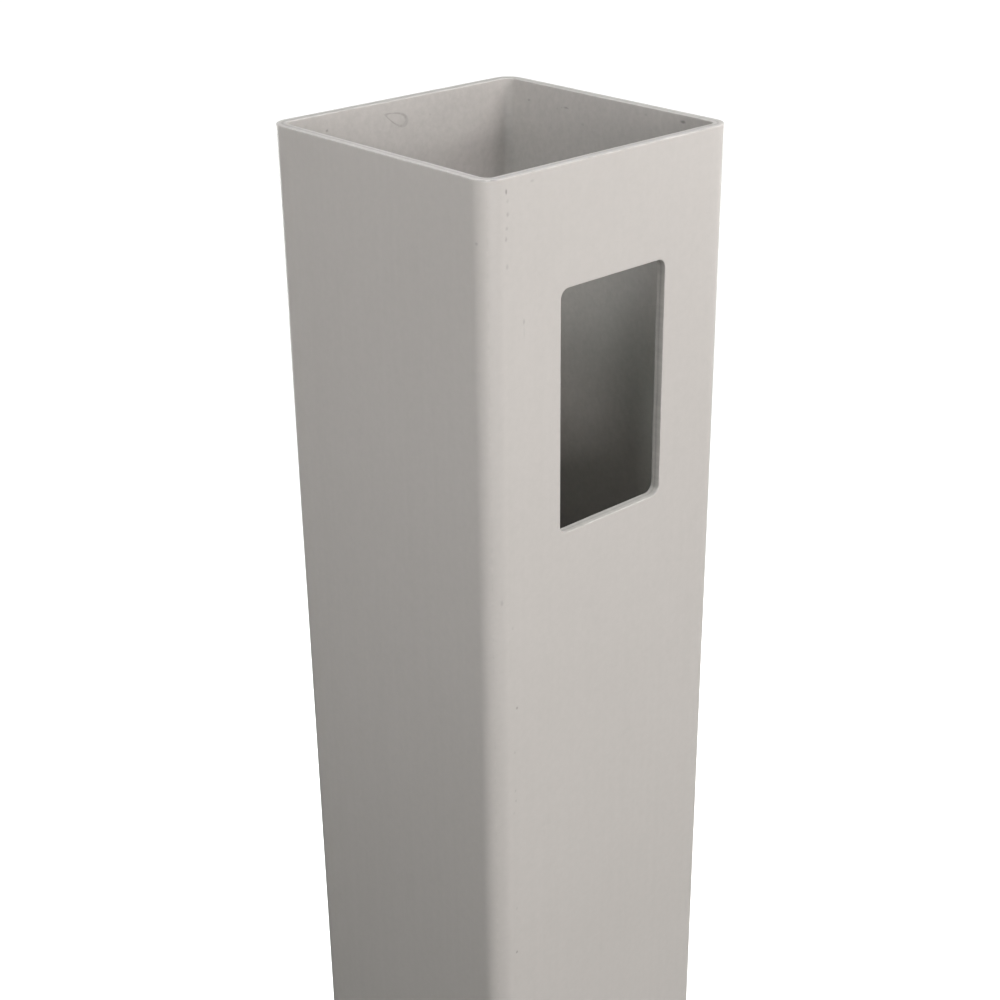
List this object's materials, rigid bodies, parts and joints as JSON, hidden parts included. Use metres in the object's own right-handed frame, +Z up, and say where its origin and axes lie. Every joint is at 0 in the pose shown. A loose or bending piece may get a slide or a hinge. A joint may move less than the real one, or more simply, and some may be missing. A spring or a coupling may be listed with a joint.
{
  "type": "fence post",
  "caption": "Square hollow vinyl fence post with an open saw-cut top and round-cornered rail holes routed in one face.",
  "frame": {"origin": "centre of the square cut at the ground line, on the post's centre line", "axes": "+Z up along the post; -Y out of the face that holds the rail holes; +X to the right when that face is looked at"},
  "size_m": [0.1016, 0.1016, 1.2192],
  "materials": {
    "clay_vinyl": "satin clay-grey rigid vinyl, the same colour right through, with paler saw-cut and routed edges"
  },
  "bodies": {
    "root": {"post": "clay_vinyl"}
  },
  "joints": []
}
